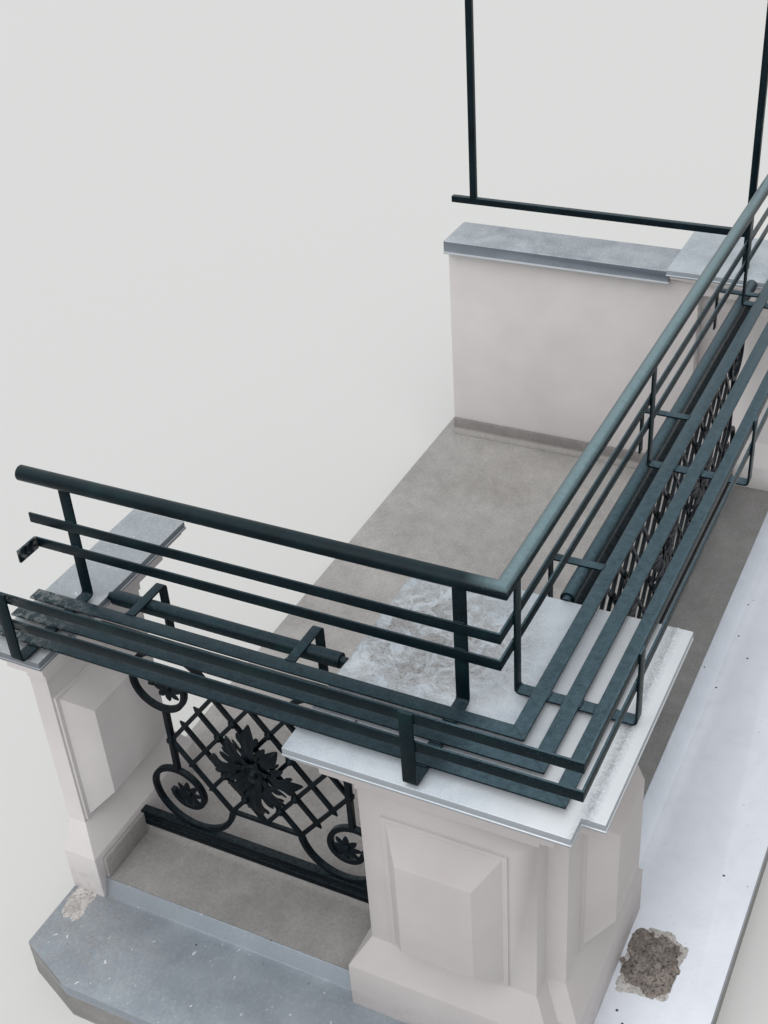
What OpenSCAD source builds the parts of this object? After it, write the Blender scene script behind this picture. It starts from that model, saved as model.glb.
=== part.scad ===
/* [Plan] */
// Length of the side run, from the corner of the handrail to the house wall
side_len = 1361; // [1300:1:1450]
// Length of the front run, from the corner of the handrail to its far end
front_len = 2956; // [2930:1:3000]
// How far the ledge reaches outside the handrail at the side
ledge_side = 520; // [480:5:560]
// How far the ledge reaches outside the handrail at the front
ledge_front = 550; // [510:5:590]

/* [Slab] */
// Thickness of the slab under the floor
slab_t = 200; // [180:5:240]
// Drop from the floor to the ledge outside the piers
ledge_drop = 64; // [50:2:80]

/* [Heights over the floor] */
// Axis of the handrail
hand_z = 1343; // [1320:1:1400]
// Top of the upper inner rail
upper_z = 1220; // [1200:1:1240]
// Top of the lower inner rail
lower_z = 1140; // [1120:1:1160]
// Top of the upper outer rail
outer_upper_z = 1197; // [1180:1:1210]
// Top of the lower outer rail
outer_lower_z = 1114; // [1100:1:1130]
// Top of the tray bars
tray_z = 987; // [984:1:995]
// Top of the zinc on the piers
cap_z = 966; // [955:1:968]

/* [Iron sections] */
// Diameter of the handrail tube
hand_d = 42.4; // [38:0.1:48.3]
// Width of the flat bars of the rails
rail_w = 30; // [25:1:35]
// Thickness of the flat bars
flat_t = 6; // [5:1:8]
// Width of the tray bars
tray_w = 40; // [35:1:42]
// Distance between the tray bars, middle to middle
tray_pitch = 79; // [70:1:80]
// Width of the bent brackets
bracket_w = 35; // [30:1:36]
// Outside face of the outer rails, measured out from the handrail's axis
outer_off = 297; // [290:1:300]

/* [Ornamental panels] */
// Half the width of a lattice diamond
cell_x = 59.1; // [57:0.1:60]
// Half the height of a lattice diamond
cell_z = 76; // [72:0.5:78]
// Height of the lattice's middle over the floor
lattice_z = 446; // [440:1:452]
// Width of the lattice bars
lattice_w = 13; // [10:1:16]
// Depth of the lattice bars
lattice_d = 12; // [10:1:16]
// Width and depth of the bars of the scrolls
scroll_w = 17; // [14:1:18]

/* [Masonry] */
// Projection of the cornice and the zinc over the shaft
cornice_out = 121; // [110:1:125]
// Height of the cornice under the zinc
cornice_h = 174; // [160:1:190]
// Projection of the plinth
plinth_out = 53; // [45:1:55]
// Height of the raised fields on the piers
field_out = 75; // [60:1:80]

/* [Hidden] */

// Colours as the photo shows them
iron = "#26363a";
old_iron = "#1f2527";
zinc = "#b6bbc0";
paint = "#bdb6b2";
concrete = "#97938d";
skirting = "#7f7b76";

// Middle of the whole in plan, which is the origin; pieces cut to shape are first drawn past their ends
mid_x = (front_len - ledge_side) / 2;
mid_y = (side_len - ledge_front) / 2;
ledge_z = -ledge_drop;
skin = 4;
zinc_t = 26;
past = 400;
cap_under = cap_z - zinc_t;

// Corner pier: shaft, notch at its outer corner, plinth
shaft_x0 = -180;
shaft_x1 = 344;
shaft_y0 = -208;
shaft_y1 = 320;
notch_x = 66;
notch_y = 55;
plinth_z = 106;
plinth_top = 195;

// Raised fields: middle, width, height, the rim round them and their bevels
field_z = 449;
field_h = 490;
field_w = 337;
field_rim = 14;
rim_out = 7;
bevel_side = 67;
bevel_top = 81;
field_side_y = 90;
field_front_x = 158;
field_wall_x = 60;
field_wall_w = 420;

// Cornice: hollow, fascia, upper hollow and top, out from the shaft and up from its foot
foot_h = 26;
foot_out = 5;
hollow_r = 58;
fascia_h = 26;
upper_hollow_r = 48;

// Wall pier, far pier and divider
wall_x0 = -158;
wall_x1 = 285;
wall_y = 1300;
far_x0 = 2672;
far_x1 = 2835;
far_y1 = 226;
divider_x0 = 2606;
divider_x1 = 2726;
divider_end = 1300;
coping_out = 50;
coping_z = cap_z - 6;
coping_t = 58;
skirt_h = 83;
skirt_t = 12;

// Front edge of the floor, the slope of the zinc at the foot of its edges, and the ledge's cut-off corner
floor_y0 = -157;
side_slope = 15;
front_slope = 49;
ledge_cut_x = 80;
ledge_cut_y = 196;

// Screen: its posts, bars and heights
screen_x = 2654;
screen_near = 57;
screen_far = 1192;
screen_bar = 25;
screen_low = 1119;
screen_top = 2000;

// Iron superstructure
bend_r = 14;
tray_first = 41;
side_brackets = [1225, 106];
front_brackets = [88, 1169, 2336];
end_bracket = front_len - 40;
side_straps = [1054, 562];
front_straps = [615, 1460, 2401];
strap_w = 28;
strap_in = 112;
strap_leg = 162;
side_tube_in = 34;
front_tube_in = 13;
tube_z = tray_z - flat_t - hand_d / 2;
tube_gap = 16;
spigot_d = 24;
tab_len = 75;
tab_t = 8;
tab_h = 38;
panel_in = 40;

// Ornamental panels
side_cells = 10;
front_cells = 34;
scroll_big = 137;
scroll_mid = 87;
scroll_small = 54;
scroll_z = 212;
scroll_reach = 95;
scroll_end = scroll_z + scroll_big + scroll_w / 2;
top_rail_w = 44;
top_rail_h = 21;
top_rail_r = 29;
top_bar_h = 13;
bar_h = 22;
bar_gap = 14;
bar_d = 28;
collar = 24;
collar_w = 20;
collar_h = 16;
scroll_cut = 30;
spike = 22;
slat_end = 8;
lug = 20;
lug_in = 60;
side_centre = 778;
front_centre = (shaft_x1 + far_x0) / 2;
half_side = side_cells / 2 * cell_x;
half_front = front_cells / 2 * cell_x;

// Cast flowers: reach of the upright, level and slanting leaves, and how they arch
leaf_tall = 188;
leaf_wide = 158;
leaf_slant = 134;
slant = 52;
leaf_t = 6;
arch_r = 150;
arch_mid = 98;
arch_rise = 26;
slant_rise = 34;
boss_r = 38;
boss_rise = 40;
stud_r = 13;
stud_h = 9;
flower_steps = [-8, 0, 8];

// Stars in the eyes of the scrolls
eye_x = scroll_reach - 2 * scroll_mid + scroll_small;
eye_r = scroll_small - scroll_w / 2;
petal_w = 17;
star_boss = 11;

// Moves a piece drawn over the floor, from the handrail's corner, to its place
module at_home(colour) {
    color(colour)
        translate([-mid_x, -mid_y, slab_t])
            children();
}

// An L in plan, mitred at the corner, between two distances out from the handrail's axis
module l_bar(a, b, top, h) {
    translate([0, 0, top - h])
        linear_extrude(height = h)
            polygon([[-b, -b], [front_len, -b], [front_len, -a], [-a, -a], [-a, side_len], [-b, side_len]]);
}

// Drawing plane of the side panel: x runs from the wall to the corner, y up, z outwards
module on_side(along) {
    translate([panel_in, along, 0])
        rotate([90, 0, -90])
            children();
}

// Drawing plane of the front panel: x runs to the far pier, y up, z outwards
module on_front(along) {
    translate([along, panel_in, 0])
        rotate([90, 0, 0])
            children();
}

module floor_plan() {
    translate([shaft_x0, floor_y0])
        square([front_len - shaft_x0, side_len - floor_y0]);
}

module ledge_plan() {
    polygon([
        [-ledge_side, -ledge_front], [front_len, -ledge_front], [front_len, side_len],
        [ledge_cut_x - ledge_side, side_len], [-ledge_side, side_len - ledge_cut_y]
    ]);
}

module balcony_slab() {
    at_home(concrete) {
        translate([0, 0, -slab_t])
            linear_extrude(height = slab_t)
                floor_plan();
        translate([0, 0, -slab_t])
            linear_extrude(height = slab_t - ledge_drop)
                ledge_plan();
    }
}

// A rectangle's four sides, grown by different amounts along x and y
module grown(x0, x1, y0, y1, dx, dy) {
    translate([x0 - dx, y0 - dy])
        square([x1 - x0 + 2 * dx, y1 - y0 + 2 * dy]);
}

// The corner pier in plan, with its notch, grown by d
module shaft_plan(d) {
    grown(shaft_x0, shaft_x1, shaft_y0 + notch_y, shaft_y1, d, d);
    grown(shaft_x0 + notch_x, shaft_x1, shaft_y0, shaft_y1, d, d);
}

module far_plan(d) {
    grown(far_x0, far_x1, shaft_y0, far_y1, d, d);
}

// The wall pier in plan, cut off by the wall
module wall_plan(d) {
    intersection() {
        grown(wall_x0, wall_x1, wall_y, side_len, d, d);
        ledge_side_of_wall();
    }
}

module ledge_side_of_wall() {
    translate([-ledge_side, 0])
        square([2 * ledge_side, side_len]);
}

module ledge_flashing() {
    at_home(zinc) {
        translate([0, 0, ledge_z])
            linear_extrude(height = skin)
                difference() {
                    ledge_plan();
                    floor_plan();
                    pier_feet();
                }
        difference() {
            union() {
                translate([shaft_x0, side_len, 0])
                    rotate([90, 0, 0])
                        linear_extrude(height = side_len)
                            mirror([1, 0])
                                upstand(side_slope);
                translate([0, floor_y0, 0])
                    rotate([90, 0, 90])
                        linear_extrude(height = front_len)
                            mirror([1, 0])
                                upstand(front_slope);
            }
            translate([0, 0, ledge_z])
                linear_extrude(height = ledge_drop)
                    pier_feet();
        }
    }
}

// The zinc at the floor's edge in section: it lies against the edge and slopes off to the ledge
module upstand(slope) {
    polygon([[0, ledge_z], [skin + slope, ledge_z], [skin + slope, ledge_z + skin], [skin, 0], [0, 0]]);
}

module pier_feet() {
    shaft_plan(plinth_out);
    far_plan(plinth_out);
    wall_plan(plinth_out);
}

// The outer part of a plinth stands on the ledge and the rest on the floor
module on_the_slab() {
    difference() {
        children();
        translate([0, 0, ledge_z - 1])
            linear_extrude(height = ledge_drop + 1)
                floor_plan();
    }
}

// A raised field with a flat rim and wide bevels, drawn flat with its face up
module raised_field(w, h) {
    translate([-w / 2, -h / 2, -1])
        cube([w, h, rim_out + 1]);
    hull() {
        translate([field_rim - w / 2, field_rim - h / 2, 0])
            cube([w - 2 * field_rim, h - 2 * field_rim, rim_out + 1]);
        translate([bevel_side - w / 2, bevel_top - h / 2, 0])
            cube([w - 2 * bevel_side, h - 2 * bevel_top, field_out]);
    }
}

// One side of the cornice, out from the shaft: foot, hollow, fascia, upper hollow and top
module moulding() {
    fascia_out = foot_out + hollow_r;
    fascia_z = foot_h + hollow_r;
    upper_z0 = fascia_z + fascia_h;
    upper_out = fascia_out + upper_hollow_r;
    square([foot_out, foot_h]);
    difference() {
        translate([0, foot_h])
            square([fascia_out, hollow_r]);
        translate([fascia_out, foot_h])
            circle(r = hollow_r, $fn = 64);
    }
    translate([0, fascia_z])
        square([fascia_out, fascia_h]);
    difference() {
        translate([0, upper_z0])
            square([upper_out, upper_hollow_r]);
        translate([upper_out, upper_z0])
            circle(r = upper_hollow_r, $fn = 64);
    }
    translate([0, upper_z0 + upper_hollow_r])
        square([upper_out, cornice_h - upper_z0 - upper_hollow_r]);
}

// The cornice in elevation, between two faces of the shaft
module cornice_front(a, b) {
    translate([a, cap_under - cornice_h]) {
        square([b - a, cornice_h]);
        mirror([1, 0])
            moulding();
    }
    translate([b, cap_under - cornice_h])
        moulding();
}

// A cornice round a rectangular shaft, mitred at the corners
module cornice(x0, x1, y0, y1) {
    intersection() {
        translate([0, y1 + past, 0])
            rotate([90, 0, 0])
                linear_extrude(height = y1 - y0 + 2 * past)
                    cornice_front(x0, x1);
        translate([x0 - past, 0, 0])
            rotate([90, 0, 90])
                linear_extrude(height = x1 - x0 + 2 * past)
                    cornice_front(y0, y1);
    }
}

// A plinth round a rectangular shaft, with its splayed top
module plinth(x0, x1, y0, y1) {
    translate([0, 0, ledge_z])
        linear_extrude(height = plinth_z - ledge_z)
            grown(x0, x1, y0, y1, plinth_out, plinth_out);
    hull() {
        translate([0, 0, plinth_z - 1])
            linear_extrude(height = 1)
                grown(x0, x1, y0, y1, plinth_out, plinth_out);
        translate([x0, y0, plinth_z])
            cube([x1 - x0, y1 - y0, plinth_top - plinth_z]);
    }
}

module shaft(x0, x1, y0, y1) {
    translate([x0, y0, 0])
        cube([x1 - x0, y1 - y0, cap_under]);
    plinth(x0, x1, y0, y1);
    cornice(x0, x1, y0, y1);
}

module corner_shaft() {
    on_the_slab() {
        shaft(shaft_x0, shaft_x1, shaft_y0 + notch_y, shaft_y1);
        shaft(shaft_x0 + notch_x, shaft_x1, shaft_y0, shaft_y1);
    }
}

module corner_pier() {
    at_home(paint) {
        corner_shaft();
        translate([shaft_x0, field_side_y, field_z])
            rotate([90, 0, -90])
                raised_field(field_w, field_h);
        translate([field_front_x, shaft_y0, field_z])
            rotate([90, 0, 0])
                raised_field(field_w, field_h);
    }
}

module corner_pier_cap() {
    at_home(zinc)
        translate([0, 0, cap_under])
            linear_extrude(height = zinc_t)
                shaft_plan(cornice_out);
}

// The pier at the wall: it runs on into the wall and is cut off there
module wall_shaft() {
    on_the_slab()
        intersection() {
            shaft(wall_x0, wall_x1, wall_y, side_len + past);
            translate([-ledge_side, 0, -ledge_drop])
                cube([2 * ledge_side, side_len, cap_z + ledge_drop]);
        }
}

module wall_pier() {
    at_home(paint) {
        wall_shaft();
        translate([field_wall_x, wall_y, field_z])
            rotate([90, 0, 0])
                raised_field(field_wall_w, field_h);
    }
}

module wall_pier_cap() {
    at_home(zinc)
        translate([0, 0, cap_under])
            linear_extrude(height = zinc_t)
                wall_plan(cornice_out);
}

module far_shaft() {
    on_the_slab()
        shaft(far_x0, far_x1, shaft_y0, far_y1);
}

module far_pier() {
    at_home(paint)
        far_shaft();
}

module far_pier_cap() {
    at_home(zinc)
        far_cap();
}

module far_cap() {
    translate([0, 0, cap_under])
        linear_extrude(height = zinc_t)
            far_plan(cornice_out);
}

module divider_wall() {
    at_home(paint)
        difference() {
            translate([divider_x0, far_y1, 0])
                cube([divider_x1 - divider_x0, divider_end - far_y1, coping_z - coping_t]);
            far_shaft();
        }
}

module divider_coping() {
    at_home(zinc)
        difference() {
            translate([divider_x0 - coping_out, far_y1, coping_z - coping_t])
                cube([divider_x1 - divider_x0 + 2 * coping_out, divider_end - far_y1, coping_t]);
            far_shaft();
            far_cap();
        }
}

module wall_skirting() {
    at_home(skirting)
        translate([shaft_x0, wall_y - plinth_out - skirt_t, 0])
            cube([panel_in - bar_d / 2 - shaft_x0, skirt_t, skirt_h]);
}

module divider_skirting() {
    at_home(skirting)
        translate([divider_x0 - skirt_t, far_y1 + plinth_out, 0])
            cube([skirt_t, divider_end - far_y1 - plinth_out, skirt_h]);
}

module screen_frame() {
    at_home(iron) {
        translate([screen_x, screen_near, cap_z])
            cube([screen_bar, screen_bar, screen_top - cap_z]);
        translate([screen_x, screen_far, screen_low - screen_bar])
            cube([screen_bar, screen_bar, screen_top - screen_low + screen_bar]);
        for (z = [screen_low, screen_top])
            translate([screen_x, screen_near, z - screen_bar])
                cube([screen_bar, divider_end - screen_near, screen_bar]);
    }
}

// One leg of the handrail, cut at 45 degrees at the corner
module hand_leg(len) {
    difference() {
        translate([-hand_d, 0, 0])
            rotate([0, 90, 0])
                cylinder(d = hand_d, h = len + hand_d, $fn = 64);
        rotate([0, 0, 135])
            translate([0, -past / 2, -hand_d])
                cube([past / 2, past, 2 * hand_d]);
    }
}

module handrail() {
    at_home(iron)
        translate([0, 0, hand_z]) {
            hand_leg(front_len);
            mirror([1, -1, 0])
                hand_leg(side_len);
        }
}

// An inner rail: outside the uprights at the side and inside them at the front
module inner_rail(top) {
    a = flat_t / 2;
    b = 1.5 * flat_t;
    translate([0, 0, top - rail_w])
        linear_extrude(height = rail_w)
            polygon([[-b, a], [front_len, a], [front_len, b], [-a, b], [-a, side_len], [-b, side_len]]);
}

module upper_rail() {
    at_home(iron)
        inner_rail(upper_z);
}

module lower_rail() {
    at_home(iron)
        inner_rail(lower_z);
}

module wall_tab() {
    at_home(iron)
        translate([-1.5 * flat_t - tab_len, side_len - tab_t, lower_z - (rail_w + tab_h) / 2])
            cube([tab_len, tab_t, tab_h]);
}

// A bent bracket: tall inner upright, arm under the tray, short outer upright
module bracket() {
    arm = tray_z - flat_t;
    foot = arm - flat_t;
    inner = -flat_t / 2;
    reach = outer_off + flat_t;
    top = hand_z - hand_d / 2;
    linear_extrude(height = bracket_w, center = true) {
        translate([inner, foot + bend_r])
            square([flat_t, top - foot - bend_r]);
        bend(inner + bend_r, foot + bend_r, 180);
        translate([inner + bend_r, foot])
            square([reach - inner - 2 * bend_r, flat_t]);
        bend(reach - bend_r, foot + bend_r, 270);
        translate([outer_off, foot + bend_r])
            square([flat_t, outer_upper_z - foot - bend_r]);
    }
}

// A quarter bend of flat bar round a middle, from one angle on
module bend(x, y, from) {
    translate([x, y])
        rotate(from)
            intersection() {
                difference() {
                    circle(r = bend_r, $fn = 64);
                    circle(r = bend_r - flat_t, $fn = 64);
                }
                square([bend_r, bend_r]);
            }
}

module side_bracket(along) {
    at_home(iron)
        translate([0, along, 0])
            mirror([1, 0, 0])
                rotate([90, 0, 0])
                    bracket();
}

module front_bracket(along) {
    at_home(iron)
        translate([along, 0, 0])
            rotate([90, 0, -90])
                bracket();
}

// The strap on the tray that hooks over the panel's top rail
module strap() {
    linear_extrude(height = strap_w, center = true) {
        translate([bend_r - strap_in, tray_z - flat_t])
            square([tray_first + strap_in - bend_r, flat_t]);
        bend(bend_r - strap_in, tray_z - bend_r, 90);
        translate([-strap_in, tray_z - strap_leg])
            square([flat_t, strap_leg - bend_r]);
    }
}

module side_hook_straps() {
    at_home(iron)
        for (along = side_straps)
            translate([0, along, 0])
                mirror([1, 0, 0])
                    rotate([90, 0, 0])
                        strap();
}

module front_hook_straps() {
    at_home(iron)
        for (along = front_straps)
            translate([along, 0, 0])
                rotate([90, 0, -90])
                    strap();
}

module tray_bar(index) {
    a = tray_first + index * tray_pitch;
    at_home(iron)
        l_bar(a, a + tray_w, tray_z, flat_t);
}

module outer_rail(top) {
    at_home(iron)
        l_bar(outer_off - flat_t, outer_off, top, rail_w);
}

// A tube wedged between two caps, with a thinner spigot at each end, drawn along x
module spacer_tube(len) {
    rotate([0, 90, 0]) {
        cylinder(d = spigot_d, h = tube_gap, $fn = 48);
        translate([0, 0, tube_gap])
            cylinder(d = hand_d, h = len - 2 * tube_gap, $fn = 64);
        translate([0, 0, len - tube_gap])
            cylinder(d = spigot_d, h = tube_gap, $fn = 48);
    }
}

module side_spacer_tube() {
    at_home(iron)
        translate([side_tube_in, shaft_y1 + cornice_out, tube_z])
            rotate([0, 0, 90])
                spacer_tube(wall_y - shaft_y1 - 2 * cornice_out);
}

module front_spacer_tube() {
    at_home(iron)
        translate([shaft_x1 + cornice_out, front_tube_in, tube_z])
            spacer_tube(far_x0 - shaft_x1 - 2 * cornice_out);
}

// Rounded rail on a flat bar, drawn along x
module top_rail(len) {
    rotate([90, 0, 90])
        linear_extrude(height = len)
            translate([0, lattice_z + scroll_end]) {
                translate([-bar_d / 2, 0])
                    square([bar_d, top_bar_h]);
                intersection() {
                    translate([-top_rail_w / 2, top_bar_h])
                        square([top_rail_w, top_rail_h]);
                    translate([0, top_bar_h + top_rail_h - top_rail_r])
                        circle(r = top_rail_r, $fn = 64);
                }
            }
}

// Two flat bars one over the other, with lugs between them, drawn along x
module double_bar(len) {
    foot = lattice_z - scroll_end - 2 * bar_h - bar_gap;
    for (z = [foot, foot + bar_h + bar_gap])
        translate([0, -bar_d / 2, z])
            cube([len, bar_d, bar_h]);
    for (x = [lug_in, len / 2, len - lug_in])
        translate([x - lug / 2, -lug / 2, foot + bar_h])
            cube([lug, lug, bar_gap]);
}

module side_top_rail() {
    at_home(old_iron)
        difference() {
            translate([panel_in, shaft_y1, 0])
                rotate([0, 0, 90])
                    top_rail(wall_y - shaft_y1);
            corner_shaft();
            wall_shaft();
        }
}

module front_top_rail() {
    at_home(old_iron)
        difference() {
            translate([shaft_x1, panel_in, 0])
                top_rail(far_x0 - shaft_x1);
            corner_shaft();
            far_shaft();
        }
}

module side_bottom_rail() {
    at_home(old_iron)
        translate([panel_in, shaft_y1 + plinth_out, 0])
            rotate([0, 0, 90])
                double_bar(wall_y - shaft_y1 - 2 * plinth_out);
}

module front_bottom_rail() {
    at_home(old_iron)
        translate([shaft_x1 + plinth_out, panel_in, 0])
            double_bar(far_x0 - shaft_x1 - 2 * plinth_out);
}

// A flat bar between two lattice points, with its ends run past by s0 and s1
module slat(p, q, s0, s1) {
    a = [p[0] * cell_x, p[1] * cell_z];
    b = [q[0] * cell_x, q[1] * cell_z];
    len = norm(b - a);
    translate(a)
        rotate(atan2(b[1] - a[1], b[0] - a[0]))
            translate([-s0, -lattice_w / 2])
                square([len + s0 + s1, lattice_w]);
}

// The slats that fall from left to right, inside a hexagon n half diamonds long
module falling(n) {
    for (c = [0:2:n]) {
        p = c < 6 ? [c / 2, c / 2] : [c - 3, 3];
        q = c > n - 6 ? [(n + c) / 2, (c - n) / 2] : [c + 3, -3];
        s0 = c > 0 && c < 6 ? spike : 0;
        s1 = c < n && c > n - 6 ? spike : 0;
        slat(p, q, s0, s1);
    }
}

module lattice(n) {
    half = n / 2 * cell_x;
    translate([0, lattice_z, -lattice_d / 2])
        linear_extrude(height = lattice_d)
            intersection() {
                translate([-half, 0]) {
                    falling(n);
                    mirror([0, 1])
                        falling(n);
                    slat([3, 3], [n - 3, 3], slat_end, slat_end);
                    slat([3, -3], [n - 3, -3], slat_end, slat_end);
                }
                translate([scroll_w / 2 - half, -past])
                    square([2 * half - scroll_w, 2 * past]);
            }
}

module side_lattice() {
    at_home(old_iron)
        on_side(side_centre)
            lattice(side_cells);
}

module front_lattice() {
    at_home(old_iron)
        on_front(front_centre)
            lattice(front_cells);
}

// A square bar bent to an arc, from one angle on through a sweep
module bent_bar(x, r, from, sweep) {
    translate([x, -scroll_z])
        rotate(from)
            rotate_extrude(angle = sweep, $fn = 96)
                translate([r - scroll_w / 2, -scroll_w / 2])
                    square([scroll_w, scroll_w]);
}

// A scroll below the panel's middle: three arcs that flow into each other, from the lattice's corner inwards
module scroll() {
    x1 = scroll_reach - scroll_big;
    x2 = scroll_reach - scroll_mid;
    x3 = scroll_reach - 2 * scroll_mid + scroll_small;
    difference() {
        union() {
            bent_bar(x1, scroll_big, 180, 180);
            bent_bar(x2, scroll_mid, 0, 180);
            bent_bar(x3, scroll_small, 180, 180);
        }
        translate([-3 * cell_x - scroll_cut, -3 * cell_z - lattice_w / 2, -scroll_w])
            cube([2 * scroll_cut, 2 * scroll_w, 2 * scroll_w]);
    }
}

// The two scrolls and the upright at one end of a panel; x runs away from the lattice's middle
module end_scrolls(half) {
    stem = scroll_z - scroll_mid;
    translate([half, lattice_z]) {
        scroll();
        mirror([0, 1])
            scroll();
        translate([-scroll_w / 2, -stem, -scroll_w / 2])
            cube([scroll_w, 2 * stem, scroll_w]);
        translate([-scroll_w / 2, -collar_h / 2, -collar / 2])
            cube([collar_w, collar_h, collar]);
    }
}

module both_ends(half) {
    end_scrolls(half);
    mirror([1, 0])
        end_scrolls(half);
}

module side_scrolls() {
    at_home(old_iron)
        on_side(side_centre)
            both_ends(half_side);
}

module front_scrolls() {
    at_home(old_iron)
        on_front(front_centre)
            both_ends(half_front);
}

// The flower at the middle of a lattice: a domed boss and leaves round it
module flower() {
    translate([0, 0, lattice_d / 2]) {
        intersection() {
            arched_dish(arch_rise);
            linear_extrude(height = 100)
                for (k = [0:3])
                    rotate(90 * k)
                        leaf_outline(k % 2 == 0 ? leaf_wide : leaf_tall);
        }
        intersection() {
            arched_dish(slant_rise);
            linear_extrude(height = 100)
                for (turn = [slant, 180 - slant, 180 + slant, -slant])
                    rotate(turn)
                        leaf_outline(leaf_slant);
        }
        boss();
        for (a = [-2, -1, 1, 2], side = [-1, 1])
            translate([a * cell_x, side * (3 - abs(a)) * cell_z])
                cylinder(r1 = stud_r, r2 = stud_r - 5, h = stud_h, $fn = 32);
    }
}

// A pointed leaf between two arcs, from the middle out along x
module blade(len, w) {
    r = (len * len + w * w) / (4 * w);
    intersection() {
        translate([len / 2, w / 2 - r])
            circle(r = r, $fn = 96);
        translate([len / 2, r - w / 2])
            circle(r = r, $fn = 96);
    }
}

// An acanthus leaf in outline: a long blade with two pairs of pointed lobes
module leaf_outline(len) {
    blade(len, len * 0.3);
    for (side = [-1, 1]) {
        translate([len * 0.16, 0])
            rotate(side * 38)
                blade(len * 0.48, len * 0.17);
        translate([len * 0.42, 0])
            rotate(side * 30)
                blade(len * 0.4, len * 0.14);
    }
}

// A ring-shaped dish, highest over the middle of the leaves, which they are cut from
module arched_dish(rise) {
    rotate_extrude($fn = 96)
        intersection() {
            translate([arch_mid, rise - arch_r])
                difference() {
                    circle(r = arch_r, $fn = 128);
                    circle(r = arch_r - leaf_t, $fn = 128);
                }
            square([leaf_tall + 5, 60]);
        }
}

// The domed boss with its stepped foot
module boss() {
    cylinder(r = boss_r, h = boss_rise / 2, $fn = 64);
    rotate_extrude($fn = 64)
        intersection() {
            translate([0, boss_rise - boss_r])
                circle(r = boss_r - 4, $fn = 96);
            square([boss_r, boss_rise]);
        }
}

module side_flower() {
    at_home(old_iron)
        on_side(side_centre)
            translate([0, lattice_z])
                flower();
}

module front_flowers() {
    at_home(old_iron)
        on_front(front_centre)
            for (k = flower_steps)
                translate([k * cell_x, lattice_z])
                    flower();
}

module rosette() {
    translate([0, 0, -leaf_t / 2])
        linear_extrude(height = leaf_t)
            intersection() {
                circle(r = eye_r, $fn = 96);
                for (k = [0:7])
                    rotate(45 * k)
                        blade(eye_r + 4, petal_w);
            }
    rotate_extrude($fn = 48)
        intersection() {
            circle(r = star_boss, $fn = 48);
            translate([0, -leaf_t / 2])
                square([star_boss, star_boss + leaf_t]);
        }
}

module end_rosettes(half) {
    for (side = [-1, 1])
        for (z = [lattice_z + scroll_z, lattice_z - scroll_z])
            translate([side * (half + eye_x), z])
                rosette();
}

module side_rosettes() {
    at_home(old_iron)
        on_side(side_centre)
            end_rosettes(half_side);
}

module front_rosettes() {
    at_home(old_iron)
        on_front(front_centre)
            end_rosettes(half_front);
}

balcony_slab();
ledge_flashing();
wall_skirting();
divider_skirting();
corner_pier();
corner_pier_cap();
wall_pier();
wall_pier_cap();
far_pier();
far_pier_cap();
divider_wall();
divider_coping();
screen_frame();
handrail();
upper_rail();
lower_rail();
wall_tab();
side_bracket(side_brackets[0]);  // side_bracket_1
side_bracket(side_brackets[1]);  // side_bracket_2
front_bracket(front_brackets[0]);  // front_bracket_1
front_bracket(front_brackets[1]);  // front_bracket_2
front_bracket(front_brackets[2]);  // front_bracket_3
front_bracket(end_bracket);  // front_bracket_4
tray_bar(0);  // tray_bar_inner
tray_bar(1);  // tray_bar_middle
tray_bar(2);  // tray_bar_outer
outer_rail(outer_upper_z);  // outer_rail_upper
outer_rail(outer_lower_z);  // outer_rail_lower
side_hook_straps();
front_hook_straps();
side_spacer_tube();
front_spacer_tube();
side_top_rail();
side_bottom_rail();
side_scrolls();
side_lattice();
side_flower();
side_rosettes();
front_top_rail();
front_bottom_rail();
front_scrolls();
front_lattice();
front_flowers();
front_rosettes();
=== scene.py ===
"""The looks of a corner balcony: rendered piers under zinc, old lattice panels and a rail of green bars."""
import math
import random

import bmesh
import bpy
from mathutils import Matrix, Vector


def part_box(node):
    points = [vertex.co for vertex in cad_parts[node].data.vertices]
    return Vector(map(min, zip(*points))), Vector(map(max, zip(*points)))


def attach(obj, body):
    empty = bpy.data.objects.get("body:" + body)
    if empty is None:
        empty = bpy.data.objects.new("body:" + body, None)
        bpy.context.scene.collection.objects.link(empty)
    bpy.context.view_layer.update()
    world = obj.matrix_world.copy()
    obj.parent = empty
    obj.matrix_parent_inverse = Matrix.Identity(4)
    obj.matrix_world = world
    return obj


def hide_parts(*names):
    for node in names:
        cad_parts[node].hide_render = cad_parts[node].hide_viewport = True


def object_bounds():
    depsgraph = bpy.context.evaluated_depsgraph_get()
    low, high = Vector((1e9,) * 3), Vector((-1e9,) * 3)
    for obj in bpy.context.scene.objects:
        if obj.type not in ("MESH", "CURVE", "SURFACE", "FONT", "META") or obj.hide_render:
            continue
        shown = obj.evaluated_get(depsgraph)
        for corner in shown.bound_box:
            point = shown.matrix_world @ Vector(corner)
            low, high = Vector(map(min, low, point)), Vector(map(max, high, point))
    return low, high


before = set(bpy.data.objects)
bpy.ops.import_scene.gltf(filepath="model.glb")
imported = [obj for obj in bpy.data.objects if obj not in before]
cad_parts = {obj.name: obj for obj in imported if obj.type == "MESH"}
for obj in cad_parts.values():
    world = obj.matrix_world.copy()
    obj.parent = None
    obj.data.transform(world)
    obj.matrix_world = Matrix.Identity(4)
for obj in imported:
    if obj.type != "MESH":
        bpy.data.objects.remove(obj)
cad_bounds = [list(corner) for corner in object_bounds()]
random.seed(7)

# The drawing's own numbers: millimetres from the handrail's corner, and over the floor

# The middle of the whole in plan, and how deep the slab's underside lies
MID_X, MID_Y, SLAB = 1218.0, 405.5, 200.0
# The old panels: how far in they stand and their face, and the lattice's middle height, cells and centres
PANEL_IN, PANEL_FACE = 40.0, 6.0
LATTICE_Z = 446.0
CELL_X, CELL_Z = 59.1, 76.0
SIDE_CELLS, FRONT_CELLS = 10, 34
SIDE_CENTRE, FRONT_CENTRE = 778.0, 1508.0
# How far the slats run past the lattice's slanting sides
SPIKE = 22.0
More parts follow.
